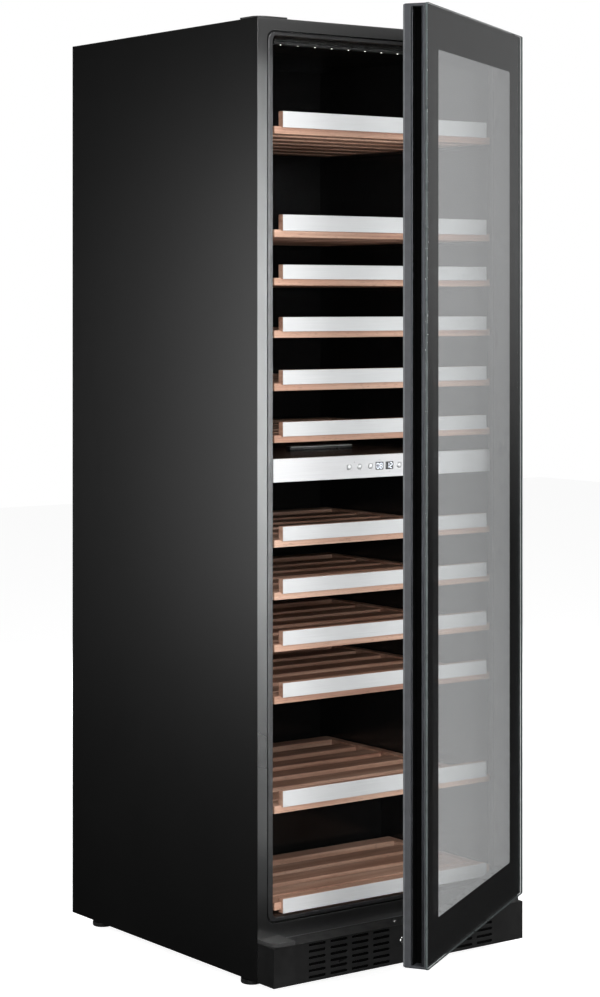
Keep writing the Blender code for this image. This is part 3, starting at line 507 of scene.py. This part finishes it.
def add_turned(shape, centre, axis, profile, steps=24, lobes=0):
    """Adds a turned form about an axis. Rows are (radius, along, lobing); a lobed row makes a star."""
    u, v = [(1, 2), (0, 2), (0, 1)][axis]
    rows = []
    for radius, along, lobing in profile:
        row = []
        for step in range(steps):
            angle = 2 * math.pi * step / steps
            reach = radius * (1 + lobing * math.cos(lobes * angle))
            point = list(centre)
            point[axis] += along
            point[u] += reach * math.cos(angle)
            point[v] += reach * math.sin(angle)
            row.append(point)
        rows.append(row)
    loft(shape, rows)


# ---- Door ----

def door_pieces():
    """The printed border, glass edge, rim, seal, window haze with its painted reflection glow, bars, painted
    shade lining the grip's channel, and spacer.
    """
    low, high = shut_box("door_glass_outer")
    frame_back = shut_box("door_frame")[1].y
    inner_front = shut_box("door_glass_inner")[0].y
    gasket_low, gasket_high = shut_box("door_gasket")
    behind = high.y
    border = 74.0 * MM
    corner = 3.0 * MM
    thin = 0.12 * MM
    gap = 0.08 * MM
    frit = [
        (0.6 * MM, behind + gap, corner),
        (border, behind + gap, corner),
        (border, behind + gap + thin, corner),
        (0.6 * MM, behind + gap + thin, corner),
    ]
    piece("door_border_print", band(low, high, frit), FRIT, "door", DOOR_TURN)

    wall = 0.35 * MM
    front, back = low.y + 0.5 * MM, high.y - 0.5 * MM
    inset = 0.05 * MM
    edge = [(inset, front, corner), (wall, front, corner), (wall, back, corner), (inset, back, corner)]
    piece("door_glass_edge", band(low, high, edge), GLASS_EDGE, "door", DOOR_TURN)

    back = frame_back
    rim = [
        (1.2 * MM, back + 0.1 * MM, corner),
        (0.9 * MM, back + 1.0 * MM, corner),
        (1.6 * MM, back + 3.2 * MM, corner),
        (3.2 * MM, back + 3.6 * MM, corner),
        (11.0 * MM, back + 3.4 * MM, corner),
        (11.6 * MM, back + 2.6 * MM, corner),
        (11.6 * MM, back + 0.1 * MM, corner),
    ]
    piece("door_rear_rim", band(low, high, rim), RIM, "door", DOOR_TURN)

    first, deep = gasket_low.y, gasket_high.y
    depth = deep - first
    flesh = gasket_low.x - low.x
    bellows = [
        (flesh + 2.0 * MM, first),
        (flesh + 0.2 * MM, first + 0.12 * depth),
        (flesh + 1.6 * MM, first + 0.34 * depth),
        (flesh + 0.1 * MM, first + 0.58 * depth),
        (flesh + 0.6 * MM, first + 0.86 * depth),
        (flesh + 1.8 * MM, deep),
        (flesh + 15.0 * MM, deep),
        (flesh + 16.8 * MM, first + 0.86 * depth),
        (flesh + 17.8 * MM, first + 0.58 * depth),
        (flesh + 16.2 * MM, first + 0.34 * depth),
        (flesh + 17.6 * MM, first + 0.12 * depth),
        (flesh + 15.8 * MM, first),
    ]
    profile = [(inset, y, corner) for inset, y in bellows]
    seal = piece("door_seal", band(low, high, profile), MATERIALS["gasket_black"], "door", DOOR_TURN,
                 bevel=0.3 * MM, smooth=60.0)
    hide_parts("door_gasket")

    # the sheet across the window carries the haze and its painted reflection glow
    film = bmesh.new()
    window = outline(low.x + border, high.x - border, low.z + border, high.z - border, corner)
    sheet(film, window, behind + gap, behind + gap + thin)
    piece("door_window_film", film, HAZE_AND_PAINTED_REFLECTION, "door", DOOR_TURN)

    bar = bmesh.new()
    at = high.x - 61.2 * MM
    for near, far in ((4.6, 2.6), (12.5, 11.5)):
        start, end = inner_front - near * MM, inner_front - far * MM
        add_box(bar, (at - 0.5 * MM, start, low.z + 66.0 * MM), (at, end, high.z - 66.0 * MM))
    piece("door_edge_bars", bar, EDGE_BAR, "door", DOOR_TURN, bevel=0.1 * MM)

    grip_low, grip_high = shut_box("door_grip")
    # near-black sheets inside the grip's channel: painted shade in the recess
    painted_shade_lining = bmesh.new()
    floor_x = grip_high.x - 2.0 * MM
    front, back = grip_low.y + 3.9 * MM, grip_high.y - 3.0 * MM
    skin = 0.35 * MM
    foot, head = grip_low.z + 0.3 * MM, grip_high.z - 0.3 * MM
    mouth = grip_low.x + 0.5 * MM
    add_box(painted_shade_lining, (floor_x - skin, front + 0.05 * MM, foot), (floor_x - 0.05 * MM, back - 0.05 * MM, head))
    add_box(painted_shade_lining, (mouth, front + 0.05 * MM, foot), (floor_x - 0.40 * MM, front + skin, head))
    add_box(painted_shade_lining, (mouth, back - skin, foot), (floor_x - 0.40 * MM, back - 0.05 * MM, head))
    piece("door_grip_painted_shade_lining", painted_shade_lining, PAINTED_SHADE_BLACK, "door", DOOR_TURN)

    spacer = [
        (border + 2.0 * MM - 14.0 * MM, high.y + 0.6 * MM, corner),
        (border + 2.0 * MM - 14.0 * MM, inner_front - 0.2 * MM, corner),
        (61.0 * MM, inner_front - 0.2 * MM, corner),
        (61.0 * MM, high.y + 0.6 * MM, corner),
    ]
    piece("door_pane_spacer", band(low, high, spacer), LAMP_BODY, "door", DOOR_TURN)


# ---- Control panel ----

LIT = {
    "0": "abcdef", "1": "bc", "2": "abged", "3": "abgcd", "4": "fgbc", "5": "afgcd",
    "6": "afgedc", "7": "abc", "8": "abcdefg", "9": "abfgcd",
}


def add_segment(shape, centre, half, thick, upright, front, back):
    """A six-sided bar of a digit, drawn from front to back along Y."""
    x, z = centre
    ends = [(-half, 0.0), (-half + thick, thick), (half - thick, thick), (half, 0.0)]
    ends += [(half - thick, -thick), (-half + thick, -thick)]
    flat = [(x + v, z + u) if upright else (x + u, z + v) for u, v in ends]
    sheet(shape, flat, front, back)


def add_digit(shape, character, x, z, height, front, back):
    """A seven-segment digit centred on (x, z)."""
    half = height / 4
    bars = {
        "a": (0, 2 * half, False), "g": (0, 0, False), "d": (0, -2 * half, False),
        "f": (-half, half, True), "b": (half, half, True),
        "e": (-half, -half, True), "c": (half, -half, True),
    }
    for bar in LIT[character]:
        dx, dz, upright = bars[bar]
        add_segment(shape, (x + dx, z + dz), half * 0.92, height * 0.055, upright, front, back)


def add_arc(shape, centre, radius, width, start, end, front, back, steps=20):
    """A flat curved stroke in the X-Z plane, from front to back along Y."""
    outer, inner = [], []
    for step in range(steps + 1):
        angle = math.radians(start + (end - start) * step / steps)
        for line, reach in ((outer, radius + width / 2), (inner, radius - width / 2)):
            line.append((centre[0] + reach * math.cos(angle), centre[1] + reach * math.sin(angle)))
    points = outer + inner[::-1]
    rows = [[shape.verts.new((u, y, v)) for u, v in points] for y in (front, back)]
    count = len(points)
    for i in range(count):
        j = (i + 1) % count
        shape.faces.new((rows[0][i], rows[0][j], rows[1][j], rows[1][i]))
    for row in rows:
        for i in range(steps):
            shape.faces.new((row[i], row[i + 1], row[count - 2 - i], row[count - 1 - i]))


def add_stroke(shape, start, end, width, front, back):
    """A flat straight stroke between two (x, z) points."""
    run = Vector((end[0] - start[0], end[1] - start[1]))
    side = Vector((-run.y, run.x)).normalized() * width / 2
    corners = [Vector(start) + side, Vector(end) + side, Vector(end) - side, Vector(start) - side]
    loft(shape, [[(c.x, y, c.y) for c in corners] for y in (front, back)])


def key_symbol(number, shape, x, z, front, back):
    """The simple sign on each key: power, lamp, degrees, then up, down and set."""
    fine = 0.32 * MM
    size = 2.0 * MM
    if number == 1:
        add_arc(shape, (x, z), size, fine, 120, 420, front, back)
        add_stroke(shape, (x, z), (x, z + 1.3 * size), fine, front, back)
    elif number == 2:
        add_arc(shape, (x, z + 0.2 * size), 0.7 * size, fine, -60, 240, front, back)
        foot = z - 0.8 * size
        add_stroke(shape, (x - 0.35 * size, foot), (x + 0.35 * size, foot), fine, front, back)
    elif number == 3:
        add_arc(shape, (x, z), 0.6 * size, fine, 60, 300, front, back)
    elif number == 6:
        add_arc(shape, (x, z), 0.5 * size, 0.9 * size, 0, 359, front, back)
    else:
        way = 1 if number == 4 else -1
        for side in (-1, 1):
            start = (x + side * size * 0.8, z - way * 0.4 * size)
            add_stroke(shape, start, (x, z + way * 0.5 * size), fine, front, back)


def control_pieces():
    """The two displays with their digits, the signs on the keys and the indicator dots."""
    low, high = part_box("control_fascia")
    middle = (low.z + high.z) / 2
    recess = low.y + 0.6 * MM
    height = 9.6 * MM
    width = 19.0 * MM
    for side, x, text in (("left", -13.5 * MM, "08"), ("right", 10.5 * MM, "12")):
        glass = bmesh.new()
        rim = outline(x - width / 2 + 0.3 * MM, x + width / 2 - 0.3 * MM,
                      middle - 7.2 * MM, middle + 7.2 * MM, 1.2 * MM)
        sheet(glass, rim, recess - 0.45 * MM, recess - 0.05 * MM)
        piece(f"display_{side}_window", glass, WINDOW, "cabinet", bevel=0.1 * MM)
        digits = bmesh.new()
        for place, character in enumerate(text):
            at = x + (place - 0.5) * 7.6 * MM
            add_digit(digits, character, at, middle, height, recess - 0.53 * MM, recess - 0.47 * MM)
        piece(f"display_{side}_digits", digits, DIGIT, "cabinet")
    for number, name in enumerate(KEYS, 1):
        key_low, key_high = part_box(name)
        x = (key_low.x + key_high.x) / 2
        front = key_low.y - 0.05 * MM
        back = key_low.y - 0.01 * MM
        mark = bmesh.new()
        add_arc(mark, (x, middle), 4.25 * MM, 0.30 * MM, 0, 359.9, front, back, 40)
        key_symbol(number, mark, x, middle, front, back)
        piece(f"{name}_symbol", mark, PRINT, name)
    dots = bmesh.new()
    dot = ((0.75 * MM, -0.15 * MM, 0.0), (0.75 * MM, 0.0, 0.0))
    for x, z in ((-73.5 * MM, 9.0 * MM), (-13.5 * MM, 11.0 * MM), (10.5 * MM, -11.0 * MM)):
        add_turned(dots, (x, low.y - 0.02 * MM, middle + z), 1, dot, 16)
    piece("indicator_dots", dots, PRINT, "cabinet")


# ---- Inside ----

def add_dome(shape, centre, radius, height, steps=16):
    """A shallow lens that hangs below its centre."""
    rows = [(radius, 0.0, 0.0), (radius * 0.94, -height * 0.4, 0.0), (radius * 0.7, -height * 0.8, 0.0)]
    rows.append((radius * 0.3, -height, 0.0))
    add_turned(shape, centre, 2, rows, steps)


def lamp_bar(name, low, high, diodes):
    """A slim lamp housing with a row of diodes under it."""
    housing = bmesh.new()
    add_box(housing, low, high)
    piece(f"{name}_housing", housing, LAMP_BODY, "cabinet", bevel=0.6 * MM)
    lenses = bmesh.new()
    pitch = (high[0] - low[0]) / diodes
    for place in range(diodes):
        x = low[0] + (place + 0.5) * pitch
        add_dome(lenses, (x, (low[1] + high[1]) / 2, low[2] - 0.02 * MM), 1.5 * MM, 0.9 * MM)
    piece(f"{name}_diodes", lenses, DIODE, "cabinet")


def inside_pieces():
    """The lamps under the ceiling and the divider, and the covers of both air ducts."""
    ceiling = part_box("liner_ceiling")[0].z
    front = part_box("liner_left")[0].y
    top = ceiling - 0.3 * MM
    lamp_bar("ceiling_lamp", (-0.20, front + 0.070, top - 5.0 * MM), (0.20, front + 0.084, top), 10)
    divider_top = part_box("zone_divider")[1].z
    cover = bmesh.new()
    low = (-0.076, front + 0.186, divider_top + 0.3 * MM)
    high = (0.076, front + 0.200, divider_top + 8.0 * MM)
    add_box(cover, low, high)
    piece("divider_lamp_housing", cover, LAMP_BODY, "cabinet", bevel=1.0 * MM)
    light = bmesh.new()
    add_box(light, (low[0] + 2.0 * MM, low[1] - 0.35 * MM, high[2] - 2.2 * MM),
            (high[0] - 2.0 * MM, low[1] - 0.05 * MM, high[2] - 1.4 * MM))
    piece("divider_lamp_strip", light, DIFFUSER, "cabinet", bevel=0.1 * MM)
    lamp_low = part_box("zone_divider")[0].z
    lamp_bar("lower_lamp", (-0.20, front + 0.090, lamp_low - 5.3 * MM),
             (0.20, front + 0.104, lamp_low - 0.3 * MM), 10)
    air_duct("upper_duct", divider_top + 0.25, 0.36)
    air_duct("lower_duct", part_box("liner_rear")[0].z + 0.16, 0.34)


def air_duct(name, low_z, height):
    """A raised cover on the rear wall, with a round fan guard and rows of air slots."""
    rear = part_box("liner_rear")[0].y
    wide = 0.130
    thick = 9.0 * MM
    cover = bmesh.new()
    rows = []
    for inset, y in ((0.0, rear - 0.3 * MM), (0.0, rear - thick + 3 * MM), (3.0 * MM, rear - thick)):
        points = outline(-wide + inset, wide - inset, low_z + inset, low_z + height - inset, 12.0 * MM)
        rows.append([(u, y, v) for u, v in points])
    loft(cover, rows)
    piece(f"{name}_cover", cover, MATERIALS["liner_black"], "cabinet", bevel=0.8 * MM)
    guard = bmesh.new()
    centre_z = low_z + height - 0.095
    front, back = rear - thick - 2.0 * MM, rear - thick - 0.1 * MM
    for ring_number in range(6):
        radius = (12.0 + 11.0 * ring_number) * MM
        add_arc(guard, (0.0, centre_z), radius, 2.2 * MM, 0, 359.9, front, back, 40)
    for spoke in range(8):
        angle = math.radians(spoke * 45 + 22.5)
        reach = Vector((math.cos(angle), math.sin(angle)))
        start = reach * 12.0 * MM
        end = reach * 67.0 * MM
        add_stroke(guard, (start.x, centre_z + start.y), (end.x, centre_z + end.y), 2.2 * MM, front, back)
    piece(f"{name}_fan_guard", guard, MATERIALS["socket_black"], "cabinet")
    slots = bmesh.new()
    for row in range(5):
        z = low_z + 0.035 + row * 0.022
        bar = outline(-0.085, 0.085, z, z + 7.0 * MM, 3.4 * MM)
        sheet(slots, bar, rear - thick - 1.4 * MM, rear - thick - 0.1 * MM)
    piece(f"{name}_louvres", slots, MATERIALS["socket_black"], "cabinet", bevel=0.5 * MM)


# ---- Kick plate ----

def kick_painted_shade_mats():
    """A near-black sheet behind each group of air slots: painted shade, which keeps the pale floor from
    showing through.
    """
    low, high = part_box("kick_plate")
    front, back = low.y + 3.2 * MM, low.y + 4.4 * MM
    for side, name in ((-1, "left"), (1, "right")):
        mat = bmesh.new()
        ends = sorted((side * 0.022, side * 0.236))
        sheet(mat, outline(*ends, low.z + 1.5 * MM, high.z - 3.0 * MM, 3.0 * MM), front, back)
        # painted shade where the plinth behind the slots is dark
        piece(f"kick_painted_shade_mat_{name}", mat, PAINTED_SHADE_BLACK, "cabinet")


# ---- Screws ----

SCREW_RADIUS = 3.6 * MM
SCREW_RISE = 0.04 * MM  # the heads are countersunk and stand this far out of the sheet
SCREW_LOBING = 0.13


def add_screw(shape, x, y, z):
    """A round head with a six-lobed socket, on a face that looks to the rear."""
    profile = [
        (SCREW_RADIUS, SCREW_RISE * 0.03, 0.0),
        (SCREW_RADIUS, SCREW_RISE * 0.35, 0.0),
        (SCREW_RADIUS * 0.86, SCREW_RISE * 0.8, 0.0),
        (SCREW_RADIUS * 0.62, SCREW_RISE, 0.0),
        (SCREW_RADIUS * 0.42, SCREW_RISE, SCREW_LOBING),
        (SCREW_RADIUS * 0.40, SCREW_RISE * 0.25, SCREW_LOBING),
    ]
    add_turned(shape, (x, y, z), 1, profile, 36, 6)


def screws():
    """Rows of screws down both sides of the rear panel and along its ends."""
    low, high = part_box("rear_panel")
    rear = bmesh.new()
    inset = 10.0 * MM
    for side in (low.x + inset, high.x - inset):
        for row in range(8):
            z = low.z + 0.03 + row * (high.z - low.z - 0.06) / 7
            add_screw(rear, side, high.y, z)
    for column in range(1, 4):
        x = low.x + inset + column * (high.x - low.x - 2 * inset) / 4
        for z in (low.z + 0.012, high.z - 0.015):
            add_screw(rear, x, high.y, z)
    piece("rear_screws", rear, SCREW, "cabinet")


# ---- Studio ----

def area(name, place, target, size, power):
    """A rectangular softbox at place, turned to its target."""
    data = bpy.data.lights.new(name, "AREA")
    data.shape = "RECTANGLE"
    data.size, data.size_y = size
    data.energy = power
    obj = bpy.data.objects.new(name, data)
    bpy.context.scene.collection.objects.link(obj)
    obj.location = place
    obj.rotation_euler = (Vector(target) - Vector(place)).to_track_quat("-Z", "Y").to_euler()


FLOOR_REACH = 9.0
FLOOR_GLOW = 0.90


def floor():
    """A plain pale floor. Glossy rays pass through it, so low reflections stay dark."""
    shape = bmesh.new()
    bmesh.ops.create_grid(shape, x_segments=1, y_segments=1, size=FLOOR_REACH)
    mesh = bpy.data.meshes.new("studio_floor")
    shape.to_mesh(mesh)
    shape.free()
    recipe = Recipe("studio_floor", (0.60,) * 3, 0.8)
    recipe.shader.inputs["Specular IOR Level"].default_value = 0.0
    out = recipe.tree.nodes["Material Output"]
    path = recipe.add("ShaderNodeLightPath")
    glow = recipe.add("ShaderNodeEmission")
    glow.inputs["Strength"].default_value = FLOOR_GLOW
    lit = recipe.add("ShaderNodeAddShader")
    seen = recipe.add("ShaderNodeMixShader")
    open_ = recipe.add("ShaderNodeBsdfTransparent")
    mix = recipe.add("ShaderNodeMixShader")
    recipe.link(recipe.shader.outputs["BSDF"], lit.inputs[0])
    recipe.link(glow.outputs["Emission"], lit.inputs[1])
    recipe.link(path.outputs["Is Camera Ray"], seen.inputs["Fac"])
    recipe.link(recipe.shader.outputs["BSDF"], seen.inputs[1])
    recipe.link(lit.outputs["Shader"], seen.inputs[2])
    recipe.link(path.outputs["Is Glossy Ray"], mix.inputs["Fac"])
    recipe.link(seen.outputs["Shader"], mix.inputs[1])
    recipe.link(open_.outputs["BSDF"], mix.inputs[2])
    recipe.link(mix.outputs["Shader"], out.inputs["Surface"])
    mesh.materials.append(recipe.material)
    obj = bpy.data.objects.new("studio_floor", mesh)
    bpy.context.scene.collection.objects.link(obj)


def world():
    """A pale backdrop, and for reflections a room that is bright on the right and dark low down."""
    sky = bpy.data.worlds.new("studio")
    bpy.context.scene.world = sky
    sky.use_nodes = True
    tree = sky.node_tree
    nodes, links = tree.nodes, tree.links
    nodes.clear()
    out = nodes.new("ShaderNodeOutputWorld")
    backdrop = nodes.new("ShaderNodeBackground")
    backdrop.inputs["Color"].default_value = (1.0, 1.0, 1.0, 1.0)
    room = nodes.new("ShaderNodeBackground")
    mix = nodes.new("ShaderNodeMixShader")
    path = nodes.new("ShaderNodeLightPath")
    coordinate = nodes.new("ShaderNodeTexCoord")
    parts = nodes.new("ShaderNodeSeparateXYZ")
    links.new(coordinate.outputs["Generated"], parts.inputs["Vector"])

    def fade(socket, start, end, low, high):
        mapping = nodes.new("ShaderNodeMapRange")
        mapping.interpolation_type = "SMOOTHSTEP"
        for key, value in (("From Min", start), ("From Max", end), ("To Min", low), ("To Max", high)):
            mapping.inputs[key].default_value = value
        links.new(socket, mapping.inputs["Value"])
        return mapping.outputs["Result"]

    def times(first, second):
        product = nodes.new("ShaderNodeMath")
        product.operation = "MULTIPLY"
        links.new(first, product.inputs[0])
        links.new(second, product.inputs[1])
        return product.outputs["Value"]

    height = fade(parts.outputs["Z"], -0.11, 0.05, 0.02, 0.36)
    right = fade(parts.outputs["X"], -0.2, 0.95, 0.02, 1.0)
    links.new(times(height, right), room.inputs["Strength"])
    links.new(path.outputs["Is Camera Ray"], mix.inputs["Fac"])
    links.new(room.outputs["Background"], mix.inputs[1])
    links.new(backdrop.outputs["Background"], mix.inputs[2])
    links.new(mix.outputs["Shader"], out.inputs["Surface"])


def camera():
    """Stands at the front left, at chest height, upright, with the frame shifted down and right."""
    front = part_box("front_frame")[0].y
    data = bpy.data.cameras.new("camera")
    data.sensor_width = 36.0
    data.lens = 87.75
    data.shift_x = 0.0433
    data.shift_y = -0.1958
    data.clip_end = 60.0
    obj = bpy.data.objects.new("camera", data)
    bpy.context.scene.collection.objects.link(obj)
    obj.location = (-2.8674, front - 3.5281, 1.2421)
    obj.rotation_euler = (math.radians(90.0), 0.0, math.radians(-36.05))
    bpy.context.scene.camera = obj


TRANSPARENT_BOUNCES = 24  # a look through the door, and on to a light, crosses its faces twice


def lights():
    middle = (0.0, -0.3, 1.0)
    area("key_softbox", (2.9, -3.9, 0.98), middle, (2.2, 1.7), 55)
    area("top_softbox", (-0.6, -2.2, 3.6), middle, (2.4, 1.6), 60)
    area("left_glow", (-1.95, 1.10, 1.00), (-0.30, -0.30, 1.00), (0.45, 1.2), 20)
    area("side_light", (-1.9, -1.75, 1.00), (0.10, -0.32, 0.90), (0.5, 2.0), 22)
    area("front_fill", (-0.9, -3.9, 1.7), middle, (1.6, 1.6), 105)
    area("rear_fill", (1.7, 3.4, 1.9), middle, (2.0, 2.0), 110)
    bpy.context.scene.cycles.transparent_max_bounces = TRANSPARENT_BOUNCES


bpy.context.scene.view_settings.view_transform = "Standard"
finish_cad_nodes()
door_pieces()
control_pieces()
inside_pieces()
kick_painted_shade_mats()
screws()
floor()
world()
lights()
camera()
